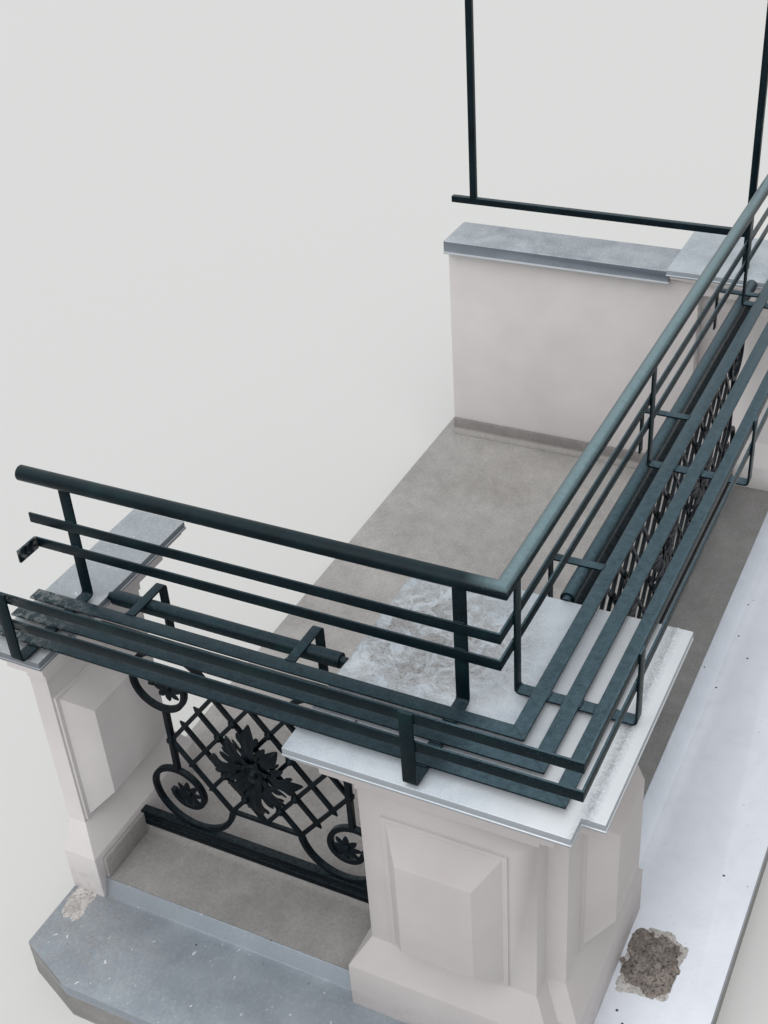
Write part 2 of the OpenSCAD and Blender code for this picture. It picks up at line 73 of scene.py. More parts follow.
# The scrolls' eyes: inside the lattice's ends, over and under its middle, and the face of the stars in them
EYE_IN, EYE_Z, EYE_FACE = 25.0, 212.0, 1.0
# The flowers of the front panel, and the studs round a flower, in cells from the middle
FRONT_FLOWERS = (-8, 0, 8)
STUD_CELLS = ((2, 1), (1, 2))
# The zinc ledge: its top, the middle height of its hem, and its outer corners from the house wall on
LEDGE_TOP, HEM_Z = -60.0, -80.5
LEDGE_CORNERS = ((-440, 1361), (-520, 1165), (-520, -550), (2956, -550))
# The uprights and the hooked straps along the side run and the front run
SIDE_POSTS = (1225.0, 106.0)
FRONT_POSTS = (88.0, 1169.0, 2336.0, 2916.0)
SIDE_STRAPS = (1054.0, 562.0)
FRONT_STRAPS = (615.0, 1460.0, 2401.0)
# Weld on the uprights: beside their middle, at the edges of the two inner rails and under the handrail
BESIDE = 4.2
RAIL_EDGES = (1221.0, 1189.0, 1141.0, 1109.0)
HANDRAIL_FOOT = 1321.0
# Weld on the tray: the bars' inner edges and width, how far it lies past an edge, the tops of arms and bars
BAR_STARTS, BAR_WIDE, PAST_EDGE = (41.0, 120.0, 199.0), 40.0, 1.2
ARM_TOP, BAR_TOP = 982.2, 987.0
# Weld on the outer rails, and on the mitred corners of the bars, where a bead is stretched and ground flat
OUTER_FACE, OUTER_EDGES = 295.8, (1166.0, 1115.0, 1083.0)
MITRE_TOP, MITRE_SHAPE = 986.6, (1.85, 0.8, 0.5, 1)


def at(x, y, z):
    """A place in the drawing as metres in the frame."""
    return Vector(((x - MID_X) / 1000, (y - MID_Y) / 1000, (z + SLAB) / 1000))


# Camera and light

# The camera's place in the drawing, its angles in degrees, and its lens in pixels of a frame 1024 high
CAMERA_PLACE = (-2142, -884, 3154)
AZIMUTH, ELEVATION, ROLL = 28.6, -34.4, -4.3
LENS_PIXELS, FRAME_PIXELS, SENSOR = 1317.4, 1024, 36
FAR_CLIP = 200
# The lamp's side of the sky, its spread in degrees and its strength
SKY_SIDE, SKY_SPREAD, SKY_STRENGTH = (-0.66, -0.02, 0.75), 70, 1.9


def place_camera():
    """A camera at the photograph's viewing angle."""
    azimuth, elevation, roll = (math.radians(angle) for angle in (AZIMUTH, ELEVATION, ROLL))
    flat = math.cos(elevation)
    view = Vector((math.cos(azimuth) * flat, math.sin(azimuth) * flat, math.sin(elevation)))
    level = Vector((math.sin(azimuth), -math.cos(azimuth), 0))
    above = level.cross(view)
    right = math.cos(roll) * level + math.sin(roll) * above
    up = -math.sin(roll) * level + math.cos(roll) * above
    lens = bpy.data.cameras.new("camera")
    lens.sensor_fit = "VERTICAL"
    lens.sensor_height = SENSOR
    lens.lens = LENS_PIXELS * SENSOR / FRAME_PIXELS
    lens.clip_end = FAR_CLIP
    camera = bpy.data.objects.new("camera", lens)
    bpy.context.scene.collection.objects.link(camera)
    turn = Matrix((right, up, -view)).transposed().to_4x4()
    camera.matrix_world = Matrix.Translation(at(*CAMERA_PLACE)) @ turn
    bpy.context.scene.camera = camera


def place_lights():
    """An overcast sky: one very wide soft lamp over the side, and a pale world that metal and camera see."""
    lamp = bpy.data.lights.new("wide_sky", "SUN")
    lamp.angle = math.radians(SKY_SPREAD)
    lamp.energy = SKY_STRENGTH
    holder = bpy.data.objects.new("wide_sky", lamp)
    bpy.context.scene.collection.objects.link(holder)
    holder.rotation_euler = Vector(SKY_SIDE).to_track_quat("Z", "Y").to_euler()
    world = bpy.data.worlds.new("daylight")
    bpy.context.scene.world = world
    world.use_nodes = True
    tree = world.node_tree
    sky = tree.nodes["Background"]
    feed(tree, sky, {"Color": (0.95, 0.97, 1.0, 1), "Strength": 0.55})
    seen = add(tree, "ShaderNodeBackground", {"Color": paint("#eceeef"), "Strength": 1.0})
    rays = add(tree, "ShaderNodeLightPath").outputs
    glossy = add(tree, MATH, {0: rays["Is Glossy Ray"], 1: rays["Is Transmission Ray"]}, operation="MAXIMUM")
    straight = add(tree, MATH, {0: rays["Is Camera Ray"], 1: glossy}, operation="MAXIMUM")
    either = add(tree, "ShaderNodeMixShader", {0: straight, 1: sky, 2: seen})
    feed(tree, tree.nodes["World Output"], {"Surface": either})


# Materials

NOISE, CELLS, RAMP = "ShaderNodeTexNoise", "ShaderNodeTexVoronoi", "ShaderNodeValToRGB"
BUMP, VECTOR = "ShaderNodeBump", "ShaderNodeVectorMath"
MIX, MATH, RANGE, SPLIT = "ShaderNodeMix", "ShaderNodeMath", "ShaderNodeMapRange", "ShaderNodeSeparateXYZ"
# What a mix of colours and a product are set to
COLOURS, TIMES = {"data_type": "RGBA"}, {"operation": "MULTIPLY"}
# Inputs by number: a mix's share and its two colours, and a range's value, its ends and what it gives at them
SHARE, UNDER, OVER = 0, 6, 7
VALUE, LOW, HIGH, AT_LOW, AT_HIGH = range(5)


def paint(code):
    """An sRGB hex colour as linear RGBA."""
    channels = [int(code[i:i + 2], 16) / 255 for i in (1, 3, 5)]
    return tuple(c / 12.92 if c <= 0.04045 else ((c + 0.055) / 1.055) ** 2.4 for c in channels) + (1.0,)


def feed(tree, node, inputs):
    """Gives a node its inputs: plain values, sockets, or nodes whose first live output is linked."""
    for socket, source in inputs.items():
        if isinstance(source, bpy.types.Node):
            source = next(output for output in source.outputs if output.enabled)
        if isinstance(source, bpy.types.NodeSocket):
            tree.links.new(source, node.inputs[socket])
        else:
            node.inputs[socket].default_value = source


def add(tree, kind, inputs=None, stops=None, **settings):
    """Adds a node with its settings by name, its inputs, and a ramp's stops as place and colour."""
    made = tree.nodes.new(kind)
    for name, value in settings.items():
        setattr(made, name, value)
    feed(tree, made, inputs or {})
    if stops:
        ramp = made.color_ramp
        while len(ramp.elements) < len(stops):
            ramp.elements.new(0.5)
        for element, (place, code) in zip(ramp.elements, stops):
            element.position = place
            element.color = paint(code)
    return made


def start_material(name):
    """A new material with its shader and the Object coordinates that all patterns read, in metres."""
    made = bpy.data.materials.new(name)
    made.use_nodes = True
    tree = made.node_tree
    shader = tree.nodes["Principled BSDF"]
    place = add(tree, "ShaderNodeTexCoord").outputs["Object"]
    return made, tree, shader, place


def top_facing(tree, low, high):
    """0 on sides and 1 on faces that look up."""
    facing = add(tree, SPLIT, {0: add(tree, "ShaderNodeNewGeometry").outputs["Normal"]})
    return add(tree, RANGE, {VALUE: facing.outputs["Z"], LOW: low, HIGH: high})


def green_enamel(name, dust_and_sheen_tone, least, most, shaded_side_share, plaster):
    """Dark green gloss enamel brushed on steel: soft brush lines, wet gloss, and pale dust with a painted
    highlight, the sky's reflection, on what faces up. Painted shade lowers them on the side run, and plaster
    smears lie on it close to the wall."""
    made, tree, shader, place = start_material(name)
    # Tone clouds, brush strokes and sags, and chalk specks
    cloud_mm, stroke_mm, speck_mm = 110, 20, 4
    cloud = add(tree, NOISE, {"Vector": place, "Scale": 1000 / cloud_mm, "Detail": 4.0, "Roughness": 0.6})
    stroke = add(tree, NOISE, {"Vector": place, "Scale": 1000 / stroke_mm, "Detail": 4.0, "Roughness": 0.7,
                               "Distortion": 0.6})
    speck = add(tree, NOISE, {"Vector": place, "Scale": 1000 / speck_mm, "Detail": 3.0, "Roughness": 0.7})
    tone = add(tree, RAMP, {0: cloud}, stops=[(0.30, "#040f15"), (0.55, "#08191f"), (0.75, "#0e2626")])
    # Dust and a painted sky highlight on what faces up, and painted shade that lowers them on the side run
    along = add(tree, SPLIT, {0: place}).outputs["Y"]
    front, behind = at(0, 0, 0).y, at(0, 90, 0).y
    lit_share = add(tree, RANGE, {VALUE: along, LOW: front, HIGH: behind, AT_LOW: 1.0, AT_HIGH: shaded_side_share})
    spread = add(tree, RANGE, {VALUE: stroke, LOW: 0.3, HIGH: 0.7, AT_LOW: least, AT_HIGH: most})
    pale_on_top = add(tree, MATH, {0: top_facing(tree, 0.45, 1.0), 1: spread}, **TIMES)
    pale_on_top = add(tree, MATH, {0: pale_on_top, 1: lit_share}, **TIMES)
    tone = add(tree, MIX, {SHARE: pale_on_top, UNDER: tone, OVER: paint(dust_and_sheen_tone)}, **COLOURS)
    # Plaster smears thicken over the last stretch before the house wall
    clear, thick = at(0, 1130, 0).y, at(0, 1300, 0).y
    by_wall = add(tree, RANGE, {VALUE: along, LOW: clear, HIGH: thick})
    smear = add(tree, RANGE, {VALUE: stroke, LOW: 0.47, HIGH: 0.60, AT_LOW: 0.0, AT_HIGH: plaster})
    smear = add(tree, MATH, {0: by_wall, 1: smear}, **TIMES)
    tone = add(tree, MIX, {SHARE: smear, UNDER: tone, OVER: paint("#a5a5a2")}, **COLOURS)
    chalk = add(tree, RANGE, {VALUE: speck, LOW: 0.56, HIGH: 0.70, AT_LOW: 0.0, AT_HIGH: 0.5})
    chalk = add(tree, MATH, {0: lit_share, 1: chalk}, **TIMES)
    chalk = add(tree, MATH, {0: top_facing(tree, -0.2, 0.6), 1: chalk}, **TIMES)
    tone = add(tree, MIX, {SHARE: chalk, UNDER: tone, OVER: paint("#74868a")}, **COLOURS)
    gloss = add(tree, RANGE, {VALUE: stroke, LOW: 0.3, HIGH: 0.7, AT_LOW: 0.28, AT_HIGH: 0.46})
    bump = add(tree, BUMP, {"Height": stroke, "Strength": 0.3, "Distance": 0.0012})
    feed(tree, shader, {"Base Color": tone, "Roughness": gloss, "Specular IOR Level": 0.10, "Normal": bump})
    return made


def old_iron_paint():
    """Wrought and cast iron under many coats: near-black green, lumpy, half matt, with grey dust on top."""
    made, tree, shader, place = start_material("overpainted_wrought_iron")
    # Clouds of tone in the coats, and lumps of old paint
    cloud_mm, lump_mm = 50, 12
    cloud = add(tree, NOISE, {"Vector": place, "Scale": 1000 / cloud_mm, "Detail": 5.0, "Roughness": 0.65})
    lumps = add(tree, NOISE, {"Vector": place, "Scale": 1000 / lump_mm, "Detail": 3.0, "Roughness": 0.55})
    stops = [(0.28, "#03070b"), (0.52, "#060e14"), (0.72, "#0b161d"), (0.88, "#16232b")]
    tone = add(tree, RAMP, {0: cloud}, stops=stops)
    spread = add(tree, RANGE, {VALUE: lumps, LOW: 0.35, HIGH: 0.65, AT_LOW: 0.1, AT_HIGH: 0.45})
    pale_on_top = add(tree, MATH, {0: top_facing(tree, 0.4, 1.0), 1: spread}, **TIMES)
    tone = add(tree, MIX, {SHARE: pale_on_top, UNDER: tone, OVER: paint("#3c484d")}, **COLOURS)
    gloss = add(tree, RANGE, {VALUE: cloud, LOW: 0.3, HIGH: 0.7, AT_LOW: 0.26, AT_HIGH: 0.46})
    bump = add(tree, BUMP, {"Height": lumps, "Strength": 0.5, "Distance": 0.0015})
    feed(tree, shader, {"Base Color": tone, "Roughness": gloss, "Specular IOR Level": 0.11, "Normal": bump})
    return made


def zinc_stains(tree, place, tone, bloom, splashed, grime, sheltered_at, dabs):
    """A zinc tone with its stains: dirt and grit in a sheltered spot, a few dark drops, dabs of plaster."""
    # Grit in the dirt, the cells that hold a drop each, the clouds that choose them, and the dabs
    grit_mm, cell_mm, choice_mm, dab_mm = 7, 60, 300, 22
    # Metres off the sheltered spot where the dirt begins and where it is full
    begins, full = 0.36, 0.12
    away = add(tree, VECTOR, {0: place, 1: sheltered_at}, operation="DISTANCE")
    sheltered = add(tree, RANGE, {VALUE: away, LOW: begins, HIGH: full})
    dirt = add(tree, RANGE, {VALUE: bloom, LOW: 0.40, HIGH: 0.56, AT_LOW: 0.0, AT_HIGH: grime})
    dirt = add(tree, MATH, {0: sheltered, 1: dirt}, **TIMES)
    tone = add(tree, MIX, {SHARE: dirt, UNDER: tone, OVER: paint("#9b9997")}, **COLOURS)
    specks = add(tree, NOISE, {"Vector": place, "Scale": 1000 / grit_mm, "Detail": 4.0, "Roughness": 0.7})
    gritty = add(tree, RANGE, {VALUE: specks, LOW: 0.54, HIGH: 0.62})
    gritty = add(tree, MATH, {0: dirt, 1: gritty}, **TIMES)
    tone = add(tree, MIX, {SHARE: gritty, UNDER: tone, OVER: paint("#6a6665")}, **COLOURS)
    drop = add(tree, CELLS, {"Vector": place, "Scale": 1000 / cell_mm})
    drop = add(tree, RANGE, {VALUE: drop, LOW: 0.08, HIGH: 0.055})
    few = add(tree, NOISE, {"Vector": place, "Scale": 1000 / choice_mm, "Detail": 2.0})
    few = add(tree, RANGE, {VALUE: few, LOW: splashed, HIGH: splashed + 0.04})
    drop = add(tree, MATH, {0: drop, 1: few}, **TIMES)
    tone = add(tree, MIX, {SHARE: drop, UNDER: tone, OVER: paint("#3c3f43")}, **COLOURS)
    dab = add(tree, NOISE, {"Vector": place, "Scale": 1000 / dab_mm, "Detail": 2.0, "Roughness": 0.6,
                            "Distortion": 0.4})
    dab = add(tree, RANGE, {VALUE: dab, LOW: 0.70, HIGH: 0.73, AT_LOW: 0.0, AT_HIGH: dabs})
    return add(tree, MIX, {SHARE: dab, UNDER: tone, OVER: paint("#e4e6e8")}, **COLOURS)


def zinc_fold_shading(tree, place, tone, crease_y, bead_z, upright_shade_tone):
    """A zinc tone with painted light at its folds: painted shade in crinkles by a crease along X and on
    upright faces, and a painted highlight on a bead at the foot.
    """
    spot = add(tree, SPLIT, {0: place})
    # Crinkles in painted shade, and the metres off the crease where the shade begins and where it is full
    crinkle_mm, begins, full = 12, 0.024, 0.004
    crinkle_shade = add(tree, NOISE, {"Vector": place, "Scale": 1000 / crinkle_mm, "Detail": 4.0, "Roughness": 0.7,
                                "Distortion": 1.5})
    crinkle_shade = add(tree, RANGE, {VALUE: crinkle_shade, LOW: 0.36, HIGH: 0.62, AT_LOW: 0.1, AT_HIGH: 0.8})
    off = add(tree, MATH, {0: spot.outputs["Y"], 1: crease_y}, operation="SUBTRACT")
    off = add(tree, MATH, {0: off}, operation="ABSOLUTE")
    beside = add(tree, RANGE, {VALUE: off, LOW: begins, HIGH: full})
    crinkle_shade = add(tree, MATH, {0: beside, 1: crinkle_shade}, **TIMES)
    tone = add(tree, MIX, {SHARE: crinkle_shade, UNDER: tone, OVER: paint("#969ca2")}, **COLOURS)
    # Upright faces take a darker painted shade, with a painted highlight along the bead at their foot
    foot = add(tree, RANGE, {VALUE: spot.outputs["Z"], LOW: bead_z + 0.002, HIGH: bead_z})
    fold = add(tree, MIX, {SHARE: foot, UNDER: paint(upright_shade_tone), OVER: paint("#b9bdc1")}, **COLOURS)
    return add(tree, MIX, {SHARE: top_facing(tree, 0.1, 0.8), UNDER: fold, OVER: tone}, **COLOURS)


def zinc_sheet(name, tones, sky_reflection_tone, washed_y, grain_mm, painted_glint, bloomed, upright_shade_tone, splashed=0.60,
               grime=0.0, sheltered_at=at(0, 0, 0), dabs=0.0, bead_z=-1.0, crease_y=9.0):
    """Zinc sheet gone dull: cloudy grey patina, granular spangle with painted glints of sky, white bloom, and
    a paler band, from the first to the second place given for it in Y, that is a painted reflection of the
    sky.
    Upright faces take painted shade. The bead's painted highlight and the crease's painted shade are off the
    sheet unless asked for."""
    made, tree, shader, place = start_material(name)
    # Clouds of patina and white bloom. The spangle is drawn some millimetres across, so that it shows
    cloud_mm, bloom_mm = 140, 50
    cloud = add(tree, NOISE, {"Vector": place, "Scale": 1000 / cloud_mm, "Detail": 7.0, "Roughness": 0.64,
                              "Distortion": 0.5})
    bloom = add(tree, NOISE, {"Vector": place, "Scale": 1000 / bloom_mm, "Detail": 8.0, "Roughness": 0.75,
                              "Distortion": 1.2})
    spangle = add(tree, NOISE, {"Vector": place, "Scale": 1000 / grain_mm, "Detail": 3.0, "Roughness": 0.75})
    tone = add(tree, RAMP, {0: cloud}, stops=list(zip((0.30, 0.50, 0.72), tones)))
    # A painted reflection of the sky: paler over a band in Y, uneven with the clouds
    along = add(tree, SPLIT, {0: place}).outputs["Y"]
    near_edge = add(tree, RANGE, {VALUE: along, LOW: washed_y[0], HIGH: washed_y[1]})
    uneven = add(tree, RANGE, {VALUE: cloud, LOW: 0.25, HIGH: 0.6, AT_LOW: 0.88, AT_HIGH: 1.0})
    washed = add(tree, MATH, {0: near_edge, 1: uneven}, **TIMES)
    tone = add(tree, MIX, {SHARE: washed, UNDER: tone, OVER: paint(sky_reflection_tone)}, **COLOURS)
    # Painted highlight: glints of the sky on the spangle
    glint = add(tree, RANGE, {VALUE: spangle, LOW: 0.50, HIGH: 0.72, AT_LOW: 0.0, AT_HIGH: painted_glint})
    tone = add(tree, MIX, {SHARE: glint, UNDER: tone, OVER: paint("#e2e6ea")}, **COLOURS)
    white = add(tree, RANGE, {VALUE: bloom, LOW: 0.60, HIGH: 0.72, AT_LOW: 0.0, AT_HIGH: bloomed})
    tone = add(tree, MIX, {SHARE: white, UNDER: tone, OVER: paint("#ced3d7")}, **COLOURS)
    tone = zinc_stains(tree, place, tone, bloom, splashed, grime, sheltered_at, dabs)
    tone = zinc_fold_shading(tree, place, tone, crease_y, bead_z, upright_shade_tone)
    dull = add(tree, RANGE, {VALUE: spangle, LOW: 0.35, HIGH: 0.7, AT_LOW: 0.6, AT_HIGH: 0.4})
    bump = add(tree, BUMP, {"Height": spangle, "Strength": 0.4, "Distance": 0.0015})
    feed(tree, shader, {"Base Color": tone, "Metallic": 0.35, "Roughness": dull, "Normal": bump})
    return made


def pier_paint(name, tones):
    """Matt masonry paint on trowelled render: even warm grey, a faint sand grain, splashed darker below."""
    made, tree, shader, place = start_material(name)
    # Tone clouds, splashes, sand grain drawn coarse so that it shows, and trowel waves
    cloud_mm, splash_mm, sand_mm, trowel_mm = 300, 40, 6, 70
    cloud = add(tree, NOISE, {"Vector": place, "Scale": 1000 / cloud_mm, "Detail": 5.0, "Roughness": 0.6})
    splash = add(tree, NOISE, {"Vector": place, "Scale": 1000 / splash_mm, "Detail": 6.0, "Roughness": 0.7})
    sand = add(tree, NOISE, {"Vector": place, "Scale": 1000 / sand_mm, "Detail": 4.0, "Roughness": 0.7})
    trowel = add(tree, NOISE, {"Vector": place, "Scale": 1000 / trowel_mm, "Detail": 2.0})
    tone = add(tree, RAMP, {0: cloud}, stops=list(zip((0.30, 0.52, 0.75), tones)))
    # Splashes reach from the ledge to 120 mm over it
    height = add(tree, SPLIT, {0: place}).outputs["Z"]
    foot = add(tree, RANGE, {VALUE: height, LOW: at(0, 0, 60).z, HIGH: at(0, 0, -50).z})
    splash = add(tree, RANGE, {VALUE: splash, LOW: 0.45, HIGH: 0.65, AT_LOW: 0.0, AT_HIGH: 0.5})
    splash = add(tree, MATH, {0: foot, 1: splash}, **TIMES)
    tone = add(tree, MIX, {SHARE: splash, UNDER: tone, OVER: paint("#989390")}, **COLOURS)
    relief = add(tree, MATH, {0: trowel, 1: sand}, **TIMES)
    bump = add(tree, BUMP, {"Height": relief, "Strength": 0.35, "Distance": 0.0018})
    feed(tree, shader, {"Base Color": tone, "Roughness": 0.85, "Normal": bump})
    return made


def cement(name, tones, outer_tone, sand_mm, lapped_z=0.0):
    """Cement screed: grey-brown, cloudy, gritty, darker outside the panels.
    The floor's own tone is drawn up to the lapped height."""
    made, tree, shader, place = start_material(name)
    # Clouds, blotches, and sand grain, drawn two to three times as coarse as it is so that it shows
    cloud_mm, blotch_mm = 350, 45
    cloud = add(tree, NOISE, {"Vector": place, "Scale": 1000 / cloud_mm, "Detail": 7.0, "Roughness": 0.62})
    blotch = add(tree, NOISE, {"Vector": place, "Scale": 1000 / blotch_mm, "Detail": 4.0, "Roughness": 0.6})
    sand = add(tree, NOISE, {"Vector": place, "Scale": 1000 / sand_mm, "Detail": 4.0, "Roughness": 0.8})
    tone = add(tree, RAMP, {0: cloud}, stops=list(zip((0.28, 0.5, 0.74), tones)))
    # The darker tone begins under the panels, with an edge 40 mm soft
    edge_x, edge_y = at(PANEL_IN, PANEL_IN, 0)[:2]
    soft = 0.02
    spot = add(tree, SPLIT, {0: place})
    past_side = add(tree, RANGE, {VALUE: spot.outputs["X"], LOW: edge_x + soft, HIGH: edge_x - soft})
    past_front = add(tree, RANGE, {VALUE: spot.outputs["Y"], LOW: edge_y + soft, HIGH: edge_y - soft})
    outside = add(tree, MATH, {0: past_side, 1: past_front}, operation="MAXIMUM")
    uneven = add(tree, RANGE, {VALUE: cloud, LOW: 0.3, HIGH: 0.7, AT_LOW: 0.95, AT_HIGH: 0.65})
    outside = add(tree, MATH, {0: outside, 1: uneven}, **TIMES)
    tone = add(tree, MIX, {SHARE: outside, UNDER: tone, OVER: paint(outer_tone)}, **COLOURS)
    lapped = add(tree, RANGE, {VALUE: spot.outputs["Z"], LOW: lapped_z + 0.012, HIGH: lapped_z - 0.004})
    tone = add(tree, MIX, {SHARE: lapped, UNDER: tone, OVER: paint("#b1aeab")}, **COLOURS)
    blotch = add(tree, RANGE, {VALUE: blotch, LOW: 0.35, HIGH: 0.65, AT_LOW: 0.93, AT_HIGH: 1.06})
    grit = add(tree, RANGE, {VALUE: sand, LOW: 0.38, HIGH: 0.62, AT_LOW: 0.87, AT_HIGH: 1.08})
    grit = add(tree, MATH, {0: grit, 1: blotch}, **TIMES)
    tone = add(tree, VECTOR, {0: tone, "Scale": grit}, operation="SCALE")
    bump = add(tree, BUMP, {"Height": sand, "Strength": 0.5, "Distance": 0.0018})
    feed(tree, shader, {"Base Color": tone, "Roughness": 0.9, "Normal": bump})
    return made


def crumbled_mortar(name, grit_tone, low_tone, high_tone):
    """Mortar broken off at a pier's foot: in blotches, with darker grit and a rough face."""
    made, tree, shader, place = start_material(name)
    blotch_mm, grit_mm = 45, 9
    blotch = add(tree, NOISE, {"Vector": place, "Scale": 1000 / blotch_mm, "Detail": 4.0, "Roughness": 0.6,
                               "Distortion": 0.8})
    crumb = add(tree, NOISE, {"Vector": place, "Scale": 1000 / grit_mm, "Detail": 5.0, "Roughness": 0.75})
    tone = add(tree, RAMP, {0: blotch}, stops=[(0.38, low_tone), (0.62, high_tone)])
    grit = add(tree, RANGE, {VALUE: crumb, LOW: 0.50, HIGH: 0.38, AT_LOW: 0.0, AT_HIGH: 0.9})
    tone = add(tree, MIX, {SHARE: grit, UNDER: tone, OVER: paint(grit_tone)}, **COLOURS)
    bump = add(tree, BUMP, {"Height": crumb, "Strength": 0.8, "Distance": 0.004})
    feed(tree, shader, {"Base Color": tone, "Roughness": 0.95, "Normal": bump})
    return made


# Modelling

# In metres: places this close are one height or side, or one row of corners
NEAR, HAIR = 0.001, 0.00005


def deselect():
    """Nothing is selected after it."""
    bpy.ops.object.select_all(action="DESELECT")


def take(piece):
    """Makes one piece the only selected and active one."""
    deselect()
    piece.select_set(True)
    bpy.context.view_layer.objects.active = piece


def editing(on):
    """Enters or leaves edit mode."""
    bpy.ops.object.mode_set(mode="EDIT" if on else "OBJECT")


def choose(test):
    """In edit mode, selects the corners whose place passes the test."""
    bpy.ops.mesh.select_mode(type="VERT")
    bpy.ops.mesh.select_all(action="DESELECT")
    mesh = bmesh.from_edit_mesh(bpy.context.object.data)
    for corner in mesh.verts:
        corner.select = test(corner.co)
    mesh.select_flush(True)
    bmesh.update_edit_mesh(bpy.context.object.data)


def choose_all():
    """In edit mode, selects everything."""
    bpy.ops.mesh.select_all(action="SELECT")


def shift(x, y, z):
    """In edit mode, moves what is selected."""
    bpy.ops.transform.translate(value=(x, y, z))


def scale(shape, middle):
    """In edit mode, scales what is selected about a place."""
    bpy.ops.transform.resize(value=shape, center_override=middle)


def draw_out(way):
    """In edit mode, extrudes what is selected and moves it."""
    bpy.ops.mesh.extrude_region_move(TRANSFORM_OT_translate={"value": way})


def cut_across(axis, place, **settings):
    """In edit mode, cuts the whole mesh by a plane across an axis."""
    spot, normal = [0, 0, 0], [0, 0, 0]
    spot[axis], normal[axis] = place, 1
    choose_all()
    bpy.ops.mesh.bisect(plane_co=spot, plane_no=normal, **settings)


def outward():
    """In edit mode, turns all faces outwards."""
    choose_all()
    bpy.ops.mesh.normals_make_consistent(inside=False)


def apply_place():
    """Puts the active piece's place, turn and scale into its mesh."""
    bpy.ops.object.transform_apply(location=True, rotation=True, scale=True)


def settle(piece, name):
    """Puts a piece's place into its mesh, names it and leaves it selected."""
    take(piece)
    apply_place()
    piece.name = name
    piece.data.name = name
    return piece


def put_on(piece, modifier, **settings):
    """Adds a modifier and applies it."""
    take(piece)
    made = piece.modifiers.new(modifier.lower(), modifier)
    for key, value in settings.items():
        setattr(made, key, value)
    bpy.ops.object.modifier_apply(modifier=made.name)


def hang(piece, material, slot, *nodes):
    """Gives a piece its finish and fixes it to the balcony, in place of the nodes it stands for."""
    piece.data.materials.clear()
    piece.data.materials.append(material)
    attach(piece, "root")
    if nodes:
        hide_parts(*nodes)


def copied(piece, name):
    """A copy with its own mesh."""
    other = piece.copy()
    other.data = piece.data.copy()
    bpy.context.scene.collection.objects.link(other)
    other.name = name
    return other


def turned(piece, degrees):
    """A copy turned about Z."""
    other = copied(piece, "turned")
    other.rotation_euler = (0, 0, math.radians(degrees))
    return other


def joined(pieces, name):
    """Several pieces as one."""
    deselect()
    for piece in pieces:
        piece.select_set(True)
    bpy.context.view_layer.objects.active = pieces[0]
    bpy.ops.object.join()
    return settle(bpy.context.object, name)


# A node's shape: corners this near and faces this flat merge, and edges under the soft angle shade smooth
MERGED, FLAT, SOFT = 0.00002, math.radians(0.5), math.radians(40)
# Steps across a rounded edge
EDGE_STEPS = 2


def softened(node, material, slot, edge, sharp=30, dress=None):
    """A node's own shape with its edges rounded, as rolled bar, folded sheet and painted render have them.
    Only edges that turn by more than the sharp angle are rounded, after the piece is dressed."""
    piece = copied(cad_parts[node], node + "_dressed")
    for key in list(piece.keys()):
        del piece[key]
    piece.parent = None
    take(piece)
    editing(True)
    choose_all()
    bpy.ops.mesh.remove_doubles(threshold=MERGED)
    bpy.ops.mesh.dissolve_limited(angle_limit=FLAT)
    if dress:
        dress(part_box(node))
    editing(False)
    put_on(piece, "BEVEL", width=edge, segments=EDGE_STEPS, limit_method="ANGLE",
           angle_limit=math.radians(sharp))
    bpy.ops.object.shade_smooth_by_angle(angle=SOFT)
    hang(piece, material, slot, node)


# Drip edges of caps and coping, as rise and reach, and where the lip begins, as a share of the rise
CAP_DRIP, COPING_DRIP, LIP = (0.007, 0.002), (0.011, 0.0015), 0.75
# The dressed fold of the corner cap: foot, ridge and foot inside its front edge, its rise, and its crease
RIDGE_START, RIDGE_TOP, RIDGE_END, RIDGE_RISE, CREASE_IN = 0.033, 0.039, 0.046, 0.0024, 0.045
# How far the coping ends before the far cap's edge, and the room that the slab leaves the hem
COPING_SHORT, HEM_ROOM = 0.010, 0.001


def drip_edge(rise, out):
    """Edit-mode work for a zinc cap: its lowest strip is folded outwards, but not at a wall or joint."""
    def fold(box):
        low, high = box
        lip = rise * LIP
        for height in (rise, lip):
            cut_across(2, low[2] + height)
        choose(lambda co: co.z < low[2] + (rise + lip) / 2)
        held = [abs(high[k] - cad_bounds[1][k]) < NEAR for k in (0, 1)]
        grow = [1 + out * (1 if held[k] else 2) / (high[k] - low[k]) for k in (0, 1)]
        middle = [high[k] if held[k] else (low[k] + high[k]) / 2 for k in (0, 1)]
        scale((*grow, 1), (*middle, low[2]))
    return fold


def front_fold(box):
    """Edit-mode work for the corner cap: its drip edge, and a dressed fold's ridge inside its front edge."""
    drip_edge(*CAP_DRIP)(box)
    low, high = box
    for inside in (RIDGE_START, RIDGE_TOP, RIDGE_END):
        cut_across(1, low[1] + inside)
    choose(lambda co: abs(co.y - low[1] - RIDGE_TOP) < NEAR / 2 and co.z > high[2] - NEAR)
    shift(0, 0, RIDGE_RISE)


def tucked_in(box):
    """Edit-mode work for the coping: it ends at the far pier's cornice, and has its drip edge."""
    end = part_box("far_pier_cap")[1][1] - COPING_SHORT
    cut_across(1, end, clear_inner=True, use_fill=True)
    drip_edge(*COPING_DRIP)(box)


def draw_in(box):
    """Edit-mode work for the slab: its outer faces give way to the zinc hem."""
    low = box[0]
    choose(lambda co: co.x < low[0] + NEAR)
    shift(HEM_ROOM, 0, 0)
    choose(lambda co: co.y < low[1] + NEAR)
    shift(0, HEM_ROOM, 0)


def pointed(place, cells):
    """Edit-mode work for a lattice: the slats that run past its slanting sides are drawn to points."""
    tip_reach, tip_size = 0.0098, 0.3

    def sharpen(box):
        tail = math.hypot(CELL_X, CELL_Z)
        for k in (1, 2):
            x = (cells / 2 - k) * CELL_X + SPIKE * CELL_X / tail
            z = k * CELL_Z + SPIKE * CELL_Z / tail
            for side in (-1, 1):
                for height in (-1, 1):
                    tip = place(side * x, height * z)
                    choose(lambda co: (co - tip).length < tip_reach)
                    scale((tip_size,) * 3, tip)
    return sharpen


